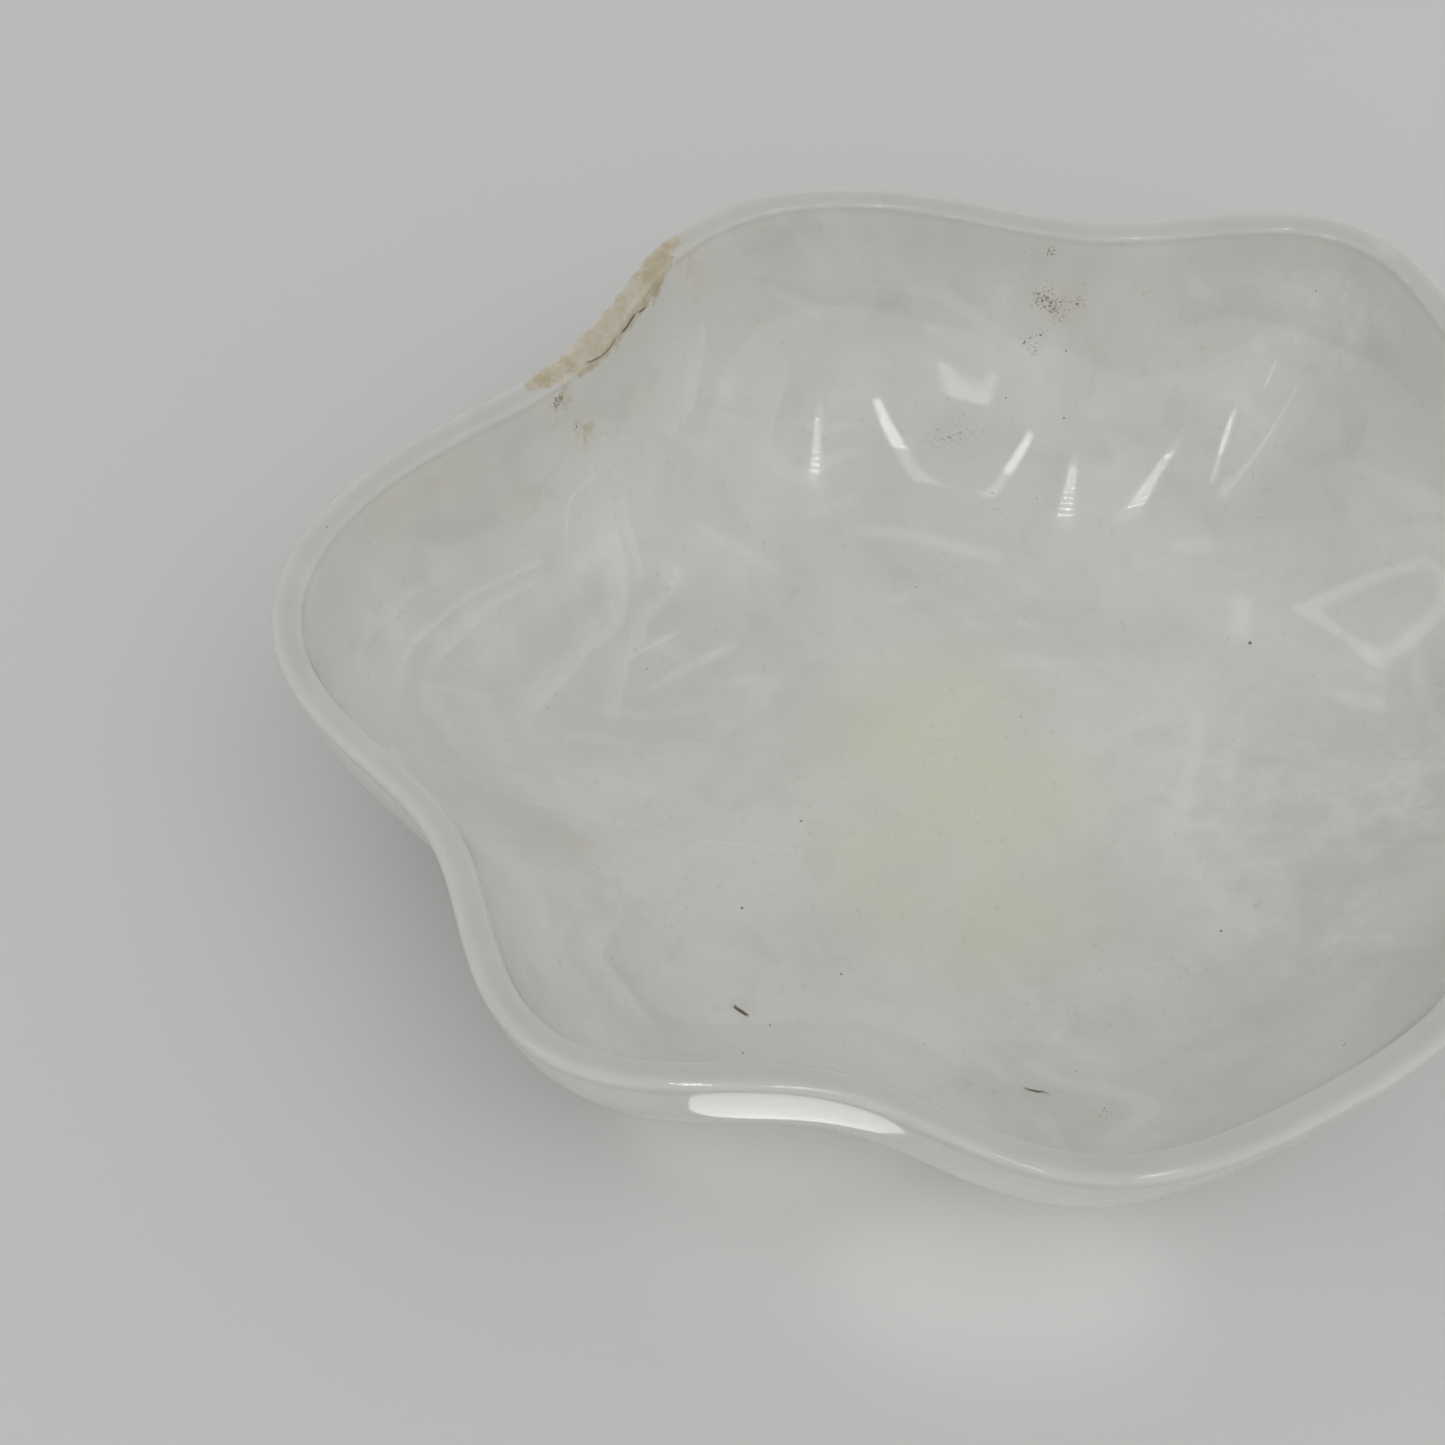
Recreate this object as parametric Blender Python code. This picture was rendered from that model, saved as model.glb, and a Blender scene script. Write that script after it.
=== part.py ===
"""Carved onyx dish: one piece of polished stone with a six-lobed flaring wall.

Run with: blender --background --python part.py
Metres, +Z up. The flat foot lies on z = 0, the rim's box is centred on x = y = 0,
and the long side runs along X.
"""
import math

import bmesh
import bpy
import numpy as np

MM = 0.001

# Sizes of the stone, in millimetres
HEIGHT = 72.0
FLOOR_THICKNESS = 8.0
RIM_THICKNESS = 6.0
RIM_SLOPE_INWARD = math.radians(20.0)
EDGE_ROUNDING = 1.4

# Distance from the middle to the rim's outer edge, every 12 degrees anticlockwise from the right end.
# The six tips stand near 4, 46, 115, 186, 227 and 285 degrees.
RIM_RADII = (149, 146, 134, 139, 145, 133, 117, 117, 124, 130, 131, 122, 117, 122, 140.5,
             149.6, 147.6, 132, 134, 140, 131, 121, 127, 129, 126, 123, 119, 114, 122, 139)

# The level floor inside is an oval that keeps a part of the lobes, and the foot is wider by its margin
FLOOR_HALF_LENGTH = 60.0
FLOOR_HALF_WIDTH = 40.0
LOBES_LEFT_AT_FLOOR = 0.3
FOOT_MARGIN = 12.0

# The wall rises from the floor to the rim as this share of a rounded quarter box of this power.
# Outside, a part of the rise is straight, which leaves a clear edge around the foot.
WALL_ARC = 0.988
WALL_POWER = 2.6
OUTSIDE_STRAIGHT_PART = 0.1
WALL_LEAN_AT_RIM = math.radians(5.0)

# Fineness of the mesh
AROUND = 132
WALL_RINGS = 9
ROUNDING_STEPS = 3
FLOOR_RINGS = (0.66, 0.33)

ONYX_COLOUR = (0.60, 0.63, 0.56, 1.0)
ONYX_ROUGHNESS = 0.12
ONYX_IOR = 1.55


def clear_scene():
    for thing in list(bpy.data.objects):
        bpy.data.objects.remove(thing, do_unlink=True)


def smooth_radii(angles, waves):
    """The rim's radius at the angles, blended from the measured radii by their first waves."""
    parts = np.fft.rfft(RIM_RADII) / len(RIM_RADII)
    radii = np.full_like(angles, parts[0].real)
    for wave in range(1, waves + 1):
        radii += 2 * (parts[wave] * np.exp(1j * wave * angles)).real
    return radii


def outward_normals(outline):
    """Unit normals of a closed anticlockwise outline."""
    along = np.roll(outline, -1, axis=0) - np.roll(outline, 1, axis=0)
    normals = np.stack([along[:, 1], -along[:, 0]], axis=1)
    return normals / np.linalg.norm(normals, axis=1, keepdims=True)


def plan_curves():
    """The rim's outer edge, its outward normals, the floor's edge inside and the foot's edge, in plan."""
    angles = np.arange(AROUND) * 2 * math.pi / AROUND
    ray = np.stack([np.cos(angles), np.sin(angles)], axis=1)
    rim_radius = smooth_radii(angles, waves=12)
    oval_radius = smooth_radii(angles, waves=2)
    floor_oval = 1 / np.hypot(ray[:, 0] / FLOOR_HALF_LENGTH, ray[:, 1] / FLOOR_HALF_WIDTH)
    floor_radius = floor_oval + LOBES_LEFT_AT_FLOOR * (rim_radius - oval_radius)
    rim = ray * rim_radius[:, None]
    middle = (rim.min(axis=0) + rim.max(axis=0)) / 2
    floor = ray * floor_radius[:, None] - middle
    foot = ray * (floor_radius + FOOT_MARGIN)[:, None] - middle
    return rim - middle, outward_normals(rim), floor, foot


def wall_rise(share):
    """How much of the wall's height is reached at this share of the way from the floor's edge to the rim."""
    def drop(part):
        return (1 - (WALL_ARC * part) ** WALL_POWER) ** (1 / WALL_POWER)

    return (1 - drop(share)) / (1 - drop(1))


def ring_at(plan, height):
    """A ring of 3-D points over a plan outline."""
    return np.column_stack([plan, np.full(len(plan), height)])


def rim_arcs(steps):
    """Inset from the outline and height of the points on the rim's outer and inner rounded edge.
    Each arc turns from the wall's face to the rim's, which slopes inward."""
    facing_up = math.pi / 2 + RIM_SLOPE_INWARD
    outer_centre = (EDGE_ROUNDING, HEIGHT - EDGE_ROUNDING)
    across = RIM_THICKNESS - 2 * EDGE_ROUNDING
    inner_centre = (outer_centre[0] + across, outer_centre[1] - across * math.tan(RIM_SLOPE_INWARD))

    def arc(centre, first, last):
        turns = np.linspace(first, last, steps + 1)
        if first < math.pi / 2:
            turns = np.append(np.linspace(first, math.pi / 2, steps), last)
        return [(centre[0] - EDGE_ROUNDING * math.cos(turn), centre[1] + EDGE_ROUNDING * math.sin(turn))
                for turn in turns]

    return (arc(outer_centre, -WALL_LEAN_AT_RIM, facing_up),
            arc(inner_centre, facing_up, math.pi - WALL_LEAN_AT_RIM))


def dish_rings():
    """Rings of points from the foot's edge, up the outside, over the rim, down the inside and over the floor."""
    rim, normals, floor, foot = plan_curves()
    outer_arc, inner_arc = rim_arcs(ROUNDING_STEPS)
    outer_edge = rim - normals * outer_arc[0][0]
    inner_edge = rim - normals * inner_arc[-1][0]
    outer_top = outer_arc[0][1]
    inner_top = inner_arc[-1][1]
    rings = []
    for step in range(WALL_RINGS):
        share = step / WALL_RINGS
        rise = OUTSIDE_STRAIGHT_PART * share + (1 - OUTSIDE_STRAIGHT_PART) * wall_rise(share)
        rings.append(ring_at(foot + (outer_edge - foot) * share, outer_top * rise))
    for inset, height in outer_arc + inner_arc:
        rings.append(ring_at(rim - normals * inset, height))
    for step in range(WALL_RINGS - 1, -1, -1):
        share = step / WALL_RINGS
        height = FLOOR_THICKNESS + (inner_top - FLOOR_THICKNESS) * wall_rise(share)
        rings.append(ring_at(floor + (inner_edge - floor) * share, height))
    for share in FLOOR_RINGS:
        rings.append(ring_at(floor * share, FLOOR_THICKNESS))
    return rings


def onyx():
    material = bpy.data.materials.new("onyx")
    material.use_nodes = True
    shader = material.node_tree.nodes["Principled BSDF"]
    shader.inputs["Base Color"].default_value = ONYX_COLOUR
    shader.inputs["Roughness"].default_value = ONYX_ROUGHNESS
    shader.inputs["Metallic"].default_value = 0.0
    shader.inputs["IOR"].default_value = ONYX_IOR
    return material


def make_dish():
    """One closed solid: quads between the rings, one flat face for the foot and a fan over the floor's middle."""
    mesh = bpy.data.meshes.new("dish")
    solid = bmesh.new()
    rows = [[solid.verts.new(point * MM) for point in ring] for ring in dish_rings()]
    for lower, upper in zip(rows, rows[1:]):
        for i in range(AROUND):
            j = (i + 1) % AROUND
            solid.faces.new((lower[i], lower[j], upper[j], upper[i]))
    solid.faces.new(list(reversed(rows[0])))
    centre = solid.verts.new((0.0, 0.0, FLOOR_THICKNESS * MM))
    for i in range(AROUND):
        solid.faces.new((rows[-1][i], rows[-1][(i + 1) % AROUND], centre))
    bmesh.ops.recalc_face_normals(solid, faces=solid.faces)
    solid.to_mesh(mesh)
    solid.free()
    mesh.shade_smooth()
    mesh.set_sharp_from_angle(angle=math.radians(40))
    mesh.materials.append(onyx())
    dish = bpy.data.objects.new("dish", mesh)
    bpy.context.scene.collection.objects.link(dish)
    return dish


clear_scene()
make_dish()
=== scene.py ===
import math

import bpy
import numpy as np
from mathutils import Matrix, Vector


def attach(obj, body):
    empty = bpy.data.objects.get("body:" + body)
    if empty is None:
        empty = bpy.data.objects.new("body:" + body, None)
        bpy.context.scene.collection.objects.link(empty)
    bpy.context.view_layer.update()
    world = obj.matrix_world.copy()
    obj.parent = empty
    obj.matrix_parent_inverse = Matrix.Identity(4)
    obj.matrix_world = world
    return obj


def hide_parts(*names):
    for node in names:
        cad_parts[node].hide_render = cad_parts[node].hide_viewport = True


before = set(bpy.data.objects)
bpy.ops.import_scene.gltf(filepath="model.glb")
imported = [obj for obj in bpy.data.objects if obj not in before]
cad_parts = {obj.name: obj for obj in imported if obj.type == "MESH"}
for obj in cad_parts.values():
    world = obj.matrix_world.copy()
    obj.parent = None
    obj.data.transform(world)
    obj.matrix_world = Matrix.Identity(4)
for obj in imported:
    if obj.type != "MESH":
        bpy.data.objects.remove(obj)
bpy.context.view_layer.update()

MM = 0.001


# The camera looks down on the dish from the front, as held over a table.
# Its place is measured from the middle of the foot, and the dish's right end is outside the picture.
PHOTO_SIDE_PX = 1445
LENS_PX = 1700
SENSOR_MM = 36.0
CAMERA_PLACE_MM = (-58.7, -223.9, 340.8)
CAMERA_ELEVATION = 55.0

camera_data = bpy.data.cameras.new("camera")
camera_data.sensor_width = SENSOR_MM
camera_data.lens = SENSOR_MM * LENS_PX / PHOTO_SIDE_PX
camera_data.clip_start = 0.01
camera = bpy.data.objects.new("camera", camera_data)
camera.location = Vector(CAMERA_PLACE_MM) * MM
camera.rotation_euler = (math.radians(90 - CAMERA_ELEVATION), 0, 0)
bpy.context.scene.collection.objects.link(camera)
bpy.context.scene.camera = camera


# The table is a pale grey, nearly matt sheet that only carries the dish. It belongs to the stage, so it
# isn't part of the object.
TABLE_HALF_SIDE = 3.0
TABLE_COLOUR = (0.605, 0.605, 0.59, 1.0)
TABLE_ROUGHNESS = 0.6


def plain_material(name, colour, roughness):
    """A Principled material of one colour."""
    material = bpy.data.materials.new(name)
    material.use_nodes = True
    shader = material.node_tree.nodes["Principled BSDF"]
    shader.inputs["Base Color"].default_value = colour
    shader.inputs["Roughness"].default_value = roughness
    return material


table_mesh = bpy.data.meshes.new("table")
table_mesh.from_pydata([(-TABLE_HALF_SIDE, -TABLE_HALF_SIDE, 0), (TABLE_HALF_SIDE, -TABLE_HALF_SIDE, 0),
                        (TABLE_HALF_SIDE, TABLE_HALF_SIDE, 0), (-TABLE_HALF_SIDE, TABLE_HALF_SIDE, 0)],
                       [], [(0, 1, 2, 3)])
table = bpy.data.objects.new("table", table_mesh)
table_mesh.materials.append(plain_material("table_top", TABLE_COLOUR, TABLE_ROUGHNESS))
bpy.context.scene.collection.objects.link(table)


# The dish is one block of onyx, hollowed and ground by hand to a six-lobed wall, cut flat at the rim,
# ground flat at the foot and polished. It is made by Geometry Nodes, which carry the section of the
# wall along the outline of the rim.
HEIGHT = 72.0
FLOOR_THICKNESS = 8.0
RIM_THICKNESS = 6.0
RIM_SLOPE_INWARD = math.radians(20.0)
EDGE_ROUNDING = 1.4
FLOOR_HALF_LENGTH = 60.0
FLOOR_HALF_WIDTH = 40.0
LOBES_LEFT_AT_FLOOR = 0.3
FOOT_MARGIN = 12.0
WALL_ARC = 0.988
WALL_POWER = 2.6
OUTSIDE_STRAIGHT_PART = 0.1
WALL_LEAN_AT_RIM = math.radians(5.0)
# Distance from the middle to the rim's outer edge, every 12 degrees anticlockwise from the right end.
RIM_RADII = (149, 146, 134, 139, 145, 133, 117, 117, 124, 130, 131, 122, 117, 122, 140.5,
             149.6, 147.6, 132, 134, 140, 131, 121, 127, 129, 126, 123, 119, 114, 122, 139)
# Fineness of the mesh. The rings of the wall crowd together towards the rim by these powers.
POINTS_AROUND = 520
FOOT_RINGS = 5
OUTSIDE_RINGS = 74
OUTSIDE_RINGS_CROWD = 2.2
ROUNDING_RINGS = 5
RIM_TOP_RINGS = 4
INSIDE_RINGS = 66
INSIDE_RINGS_CROWD = 1.6
FLOOR_RINGS = 24
# Points this near each other, in metres, are joined where the mesh closes at its poles
SEAM_GAP = 0.000002
# The grinding tool leaves slight waves, which the polish shows
TOOL_WAVES_PER_MM = 0.07
TOOL_WAVE_DEPTH = 0.03


def smooth_radii(angles, waves):
    """The rim's radius at the angles, blended from the measured radii by their first waves."""
    parts = np.fft.rfft(RIM_RADII) / len(RIM_RADII)
    radii = np.full_like(angles, parts[0].real)
    for wave in range(1, waves + 1):
        radii += 2 * (parts[wave] * np.exp(1j * wave * angles)).real
    return radii


def rim_outline():
    """A closed loop of edges along the rim's outer edge. Each point knows the floor's edge below it."""
    angles = np.arange(POINTS_AROUND) * 2 * math.pi / POINTS_AROUND
    ray = np.stack([np.cos(angles), np.sin(angles)], axis=1)
    rim_radius = smooth_radii(angles, waves=12)
    oval_radius = smooth_radii(angles, waves=2)
    floor_oval = 1 / np.hypot(ray[:, 0] / FLOOR_HALF_LENGTH, ray[:, 1] / FLOOR_HALF_WIDTH)
    floor_radius = floor_oval + LOBES_LEFT_AT_FLOOR * (rim_radius - oval_radius)
    rim = ray * rim_radius[:, None]
    middle = (rim.min(axis=0) + rim.max(axis=0)) / 2
    floor = ray * floor_radius[:, None] - middle
    mesh = bpy.data.meshes.new("rim_outline")
    points = np.column_stack([rim - middle, np.zeros(POINTS_AROUND)]) * MM
    loop = [(i, (i + 1) % POINTS_AROUND) for i in range(POINTS_AROUND)]
    mesh.from_pydata(points.tolist(), loop, [])
    floor_edge = mesh.attributes.new("floor_edge", "FLOAT_VECTOR", "POINT")
    floor_edge.data.foreach_set("vector", (np.column_stack([floor, np.zeros(POINTS_AROUND)]) * MM).ravel())
    outline = bpy.data.objects.new("dish", mesh)
    bpy.context.scene.collection.objects.link(outline)
    return outline


def wall_rise(share):
    """How much of the wall's height is reached at this share of the way from the floor's edge to the rim."""
    def drop(part):
        return (1 - (WALL_ARC * part) ** WALL_POWER) ** (1 / WALL_POWER)

    return (1 - drop(share)) / (1 - drop(1))


def rim_arcs(steps):
    """Inset from the outline and height of the points on the rim's outer and inner rounded edge.
    Each arc turns from the wall's face to the rim's, which slopes inward."""
    facing_up = math.pi / 2 + RIM_SLOPE_INWARD
    outer_centre = (EDGE_ROUNDING, HEIGHT - EDGE_ROUNDING)
    across = RIM_THICKNESS - 2 * EDGE_ROUNDING
    inner_centre = (outer_centre[0] + across, outer_centre[1] - across * math.tan(RIM_SLOPE_INWARD))

    def arc(centre, first, last):
        turns = np.linspace(first, last, steps + 1)
        if first < math.pi / 2:
            turns = np.append(np.linspace(first, math.pi / 2, steps), last)
        return [(centre[0] - EDGE_ROUNDING * math.cos(turn), centre[1] + EDGE_ROUNDING * math.sin(turn))
                for turn in turns]

    return (arc(outer_centre, -WALL_LEAN_AT_RIM, facing_up),
            arc(inner_centre, facing_up, math.pi - WALL_LEAN_AT_RIM))


def wall_section():
    """A chain of points from the middle of the foot over the rim to the middle of the floor inside.
    X runs from -1 in the middle to 0 at the floor's edge and 1 at the rim, Y is the inset from the
    rim's outer edge, and Z is the height. The outer points know that they are outside."""
    outer_arc, inner_arc = rim_arcs(ROUNDING_RINGS)
    points = [(-1 + step / FOOT_RINGS, 0.0, 0.0, 1.0) for step in range(FOOT_RINGS)]
    for step in range(OUTSIDE_RINGS):
        share = 1 - (1 - step / OUTSIDE_RINGS) ** OUTSIDE_RINGS_CROWD
        rise = OUTSIDE_STRAIGHT_PART * share + (1 - OUTSIDE_STRAIGHT_PART) * wall_rise(share)
        points.append((share, outer_arc[0][0], outer_arc[0][1] * rise, 1.0))
    points += [(1.0, inset, height, 1.0) for inset, height in outer_arc]
    start, end = np.array(outer_arc[-1]), np.array(inner_arc[0])
    for step in range(1, RIM_TOP_RINGS):
        inset, height = start + (end - start) * step / RIM_TOP_RINGS
        points.append((1.0, inset, height, 1.0))
    points += [(1.0, inset, height, 0.0) for inset, height in inner_arc]
    for step in range(INSIDE_RINGS - 1, -1, -1):
        share = 1 - (1 - step / INSIDE_RINGS) ** INSIDE_RINGS_CROWD
        height = FLOOR_THICKNESS + (inner_arc[-1][1] - FLOOR_THICKNESS) * wall_rise(share)
        points.append((share, inner_arc[-1][0], height, 0.0))
    points += [(-step / FLOOR_RINGS, 0.0, FLOOR_THICKNESS, 0.0) for step in range(1, FLOOR_RINGS + 1)]
    mesh = bpy.data.meshes.new("wall_section")
    places = [(share, inset * MM, height * MM) for share, inset, height, _ in points]
    mesh.from_pydata(places, [(i, i + 1) for i in range(len(points) - 1)], [])
    outside = mesh.attributes.new("outside", "FLOAT", "POINT")
    outside.data.foreach_set("value", [point[3] for point in points])
    section = bpy.data.objects.new("wall_section", mesh)
    bpy.context.scene.collection.objects.link(section)
    return section


class Tree:
    """Writes a node tree: add() makes a node, feeds its inputs by number or name, and returns it."""

    def __init__(self, tree):
        self.tree = tree

    def add(self, kind, inputs=(), **settings):
        node = self.tree.nodes.new(kind)
        for name, value in settings.items():
            setattr(node, name, value)
        for key, value in dict(inputs).items():
            socket = node.inputs[key]
            if isinstance(value, bpy.types.NodeSocket):
                self.tree.links.new(value, socket)
            else:
                socket.default_value = value
        return node

    def math(self, operation, *values, clamp=False):
        node = self.add("ShaderNodeMath", dict(enumerate(values)), operation=operation, use_clamp=clamp)
        return node.outputs[0]

    def vector(self, operation, *values):
        node = self.add("ShaderNodeVectorMath", dict(enumerate(values)), operation=operation)
        return node.outputs["Value" if operation in ("DOT_PRODUCT", "DISTANCE") else "Vector"]

    def scaled(self, vector, factor):
        node = self.add("ShaderNodeVectorMath", {"Vector": vector, "Scale": factor}, operation="SCALE")
        return node.outputs["Vector"]


def new_geometry_tree(name, sockets):
    """A Geometry Nodes tree with the named inputs, and the identifier of each."""
    group = bpy.data.node_groups.new(name, "GeometryNodeTree")
    group.interface.new_socket(name="Geometry", in_out="INPUT", socket_type="NodeSocketGeometry")
    group.interface.new_socket(name="Geometry", in_out="OUTPUT", socket_type="NodeSocketGeometry")
    identifiers = {}
    for label, kind in sockets:
        socket = group.interface.new_socket(name=label, in_out="INPUT", socket_type=kind)
        identifiers[label] = socket.identifier
    return group, identifiers


# Slow unevenness all through the block: its size per millimetre, detail, roughness and distortion
STONE_FIELDS = {
    "clouding": (0.022, 4.0, 0.55, 0.8),
    "bending": (0.012, 2.0, 0.5, 0.0),
    "breaking": (0.03, 3.0, 0.6, 0.0),
    "greying": (0.05, 3.0, 0.6, 1.2),
    "glowing": (0.05, 3.0, 0.5, 0.6),
    "flecking": (0.14, 2.0, 0.7, 0.0),
}


def dish_tree():
    """Carries the wall's section along the rim's outline, closes the two poles, and adds the slight waves
    of the tool and the slow unevenness of the stone."""
    group, sockets = new_geometry_tree("carve_dish", [
        ("Wall Section", "NodeSocketObject"), ("Points Around", "NodeSocketInt"),
        ("Foot Margin", "NodeSocketFloat"), ("Wave Depth", "NodeSocketFloat"),
        ("Waves per mm", "NodeSocketFloat"), ("Stone", "NodeSocketMaterial")])
    t = Tree(group)
    given = t.add("NodeGroupInput").outputs
    outline = t.add("GeometryNodeMeshToCurve", {"Mesh": given["Geometry"]}).outputs[0]
    section = t.add("GeometryNodeObjectInfo", {"Object": given["Wall Section"]}).outputs["Geometry"]
    section_size = t.add("GeometryNodeAttributeDomainSize", {"Geometry": section}, component="MESH")
    last = t.math("SUBTRACT", section_size.outputs["Point Count"], 1)
    tube = t.add("GeometryNodeMeshCylinder",
                 {"Vertices": given["Points Around"], "Side Segments": last, "Radius": 1.0, "Depth": 1.0},
                 fill_type="NONE").outputs["Mesh"]
    # where each point of the tube is: along the rim from its angle, along the section from its height
    place = t.add("ShaderNodeSeparateXYZ", {0: t.add("GeometryNodeInputPosition").outputs[0]}).outputs
    turn = t.math("DIVIDE", t.math("ARCTAN2", place["Y"], place["X"]), 2 * math.pi)
    along_rim = t.math("FRACT", t.math("ADD", turn, 1.0))
    along_section = t.math("ROUND", t.math("MULTIPLY", t.math("ADD", place["Z"], 0.5), last))

    def value_of(sockets):
        return [socket for socket in sockets if socket.name == "Value" and socket.enabled][0]

    def stored(name, kind):
        return t.add("GeometryNodeInputNamedAttribute", {"Name": name}, data_type=kind).outputs["Attribute"]

    def from_outline(value):
        sample = t.add("GeometryNodeSampleCurve", {"Curves": outline, "Factor": along_rim}, mode="FACTOR",
                       data_type="FLOAT_VECTOR", use_all_curves=True)
        group.links.new(value, value_of(sample.inputs))
        return sample.outputs

    def from_section(value, kind):
        sample = t.add("GeometryNodeSampleIndex", {"Geometry": section, "Index": along_section},
                       data_type=kind)
        group.links.new(value, value_of(sample.inputs))
        return value_of(sample.outputs)

    rim = from_outline(stored("floor_edge", "FLOAT_VECTOR"))
    floor_edge = value_of(rim)
    side = t.vector("CROSS_PRODUCT", rim["Tangent"], (0, 0, 1))
    section_place = from_section(t.add("GeometryNodeInputPosition").outputs[0], "FLOAT_VECTOR")
    outside = from_section(stored("outside", "FLOAT"), "FLOAT")
    share, inset, height = t.add("ShaderNodeSeparateXYZ", {0: section_place}).outputs
    # the foot is wider than the floor inside by its margin, and both shrink to a point in the middle
    ray = t.vector("NORMALIZE", floor_edge)
    base = t.vector("ADD", floor_edge, t.scaled(ray, t.math("MULTIPLY", outside, given["Foot Margin"])))
    base = t.scaled(base, t.math("ADD", 1.0, t.math("MINIMUM", share, 0.0)))
    edge = t.vector("SUBTRACT", rim["Position"], t.scaled(side, inset))
    up_wall = t.math("MAXIMUM", share, 0.0)
    plan = t.vector("ADD", t.scaled(base, t.math("SUBTRACT", 1.0, up_wall)), t.scaled(edge, up_wall))
    lift = t.add("ShaderNodeCombineXYZ", {"Z": height}).outputs[0]
    placed = t.add("GeometryNodeSetPosition", {"Geometry": tube, "Position": t.vector("ADD", plan, lift)})
    marked = t.add("GeometryNodeStoreNamedAttribute",
                   {"Geometry": placed.outputs[0], "Name": "outside", "Value": outside}, data_type="FLOAT")
    closed = t.add("GeometryNodeMergeByDistance", {"Geometry": marked.outputs[0], "Distance": SEAM_GAP})
    spot = t.scaled(t.add("GeometryNodeInputPosition").outputs[0], 1 / MM)
    wave = t.add("ShaderNodeTexNoise", {"Vector": spot, "Scale": given["Waves per mm"], "Detail": 1.0,
                                        "Roughness": 0.4}).outputs[0]
    depth = t.math("MULTIPLY", t.math("SUBTRACT", wave, 1.0), given["Wave Depth"])
    normal = t.add("GeometryNodeInputNormal").outputs[0]
    ground = t.add("GeometryNodeSetPosition",
                   {"Geometry": closed.outputs[0], "Offset": t.scaled(normal, depth)})
    geometry = ground.outputs[0]
    for name, (scale, detail, roughness, distortion) in STONE_FIELDS.items():
        field = t.add("ShaderNodeTexNoise", {"Vector": spot, "Scale": scale, "Detail": detail,
                                             "Roughness": roughness, "Distortion": distortion}).outputs[0]
        kept = t.add("GeometryNodeStoreNamedAttribute",
                     {"Geometry": geometry, "Name": name, "Value": field}, data_type="FLOAT")
        geometry = kept.outputs[0]
    smooth = t.add("GeometryNodeSetShadeSmooth", {"Geometry": geometry, "Shade Smooth": True})
    whole = t.add("GeometryNodeRealizeInstances", {"Geometry": smooth.outputs[0]})
    stone = t.add("GeometryNodeSetMaterial", {"Geometry": whole.outputs[0], "Material": given["Stone"]})
    t.add("NodeGroupOutput", {"Geometry": stone.outputs[0]})
    return group, sockets


def run_tree(piece, group, sockets, values):
    """Runs a tree on the piece and keeps its result as a plain mesh."""
    modifier = piece.modifiers.new(group.name, "NODES")
    modifier.node_group = group
    for label, value in values.items():
        modifier[sockets[label]] = value
    graph = bpy.context.evaluated_depsgraph_get()
    result = bpy.data.meshes.new_from_object(piece.evaluated_get(graph))
    piece.modifiers.remove(modifier)
    piece.data = result


PATH_STEP_PX = 3
# A vein reaches this many half-widths and this margin in millimetres to its sides, and fades in the margin's
# last part. Its ends fade over a share of its length. A place this many half-widths off is clear of it.
VEIN_REACH = 3
VEIN_MARGIN = 4.0
VEIN_MARGIN_FADE = 2.0
VEIN_END_FADE = 0.18
CLEAR_OF_VEIN = 5.0
# A speck marks the points this near, in millimetres, unless another speck is nearer than the second distance
SPECK_REACH = 2.7
SPECKS_APART = 3.0
NO_SPECK_PLACE = (0.0, 0.0, -500.0)


def seen_places(pixels):
    """Where the sight lines through these points of the picture meet the stone, in millimetres, and
    the stone's normals there."""
    turn = camera.rotation_euler.to_matrix()
    places = []
    normals = []
    for u, v in pixels:
        sight = turn @ Vector((u - PHOTO_SIDE_PX / 2, PHOTO_SIDE_PX / 2 - v, -LENS_PX)).normalized()
        met, place, normal, _ = dish.ray_cast(camera.location, sight)
        if met:
            places.append(place / MM)
            normals.append(normal)
    return np.array(places), np.array(normals)


def rounded_path(corners):
    """A smooth line through the corners, with a point every few pixels."""
    corners = np.array(corners, float)
    padded = np.vstack([2 * corners[0] - corners[1], corners, 2 * corners[-1] - corners[-2]])
    line = []
    for a, b, c, d in zip(padded, padded[1:], padded[2:], padded[3:]):
        steps = max(2, int(np.linalg.norm(c - b) / PATH_STEP_PX))
        for t in np.linspace(0, 1, steps, endpoint=False):
            line.append((2 * b + (c - a) * t + (2 * a - 5 * b + 4 * c - d) * t ** 2
                         + (3 * b - a - 3 * c + d) * t ** 3) / 2)
    return line + [corners[-1]]


def write_attribute(name, values):
    attribute = dish.data.attributes.new(name, "FLOAT", "POINT")
    attribute.data.foreach_set("value", values.astype(np.float32))


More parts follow.
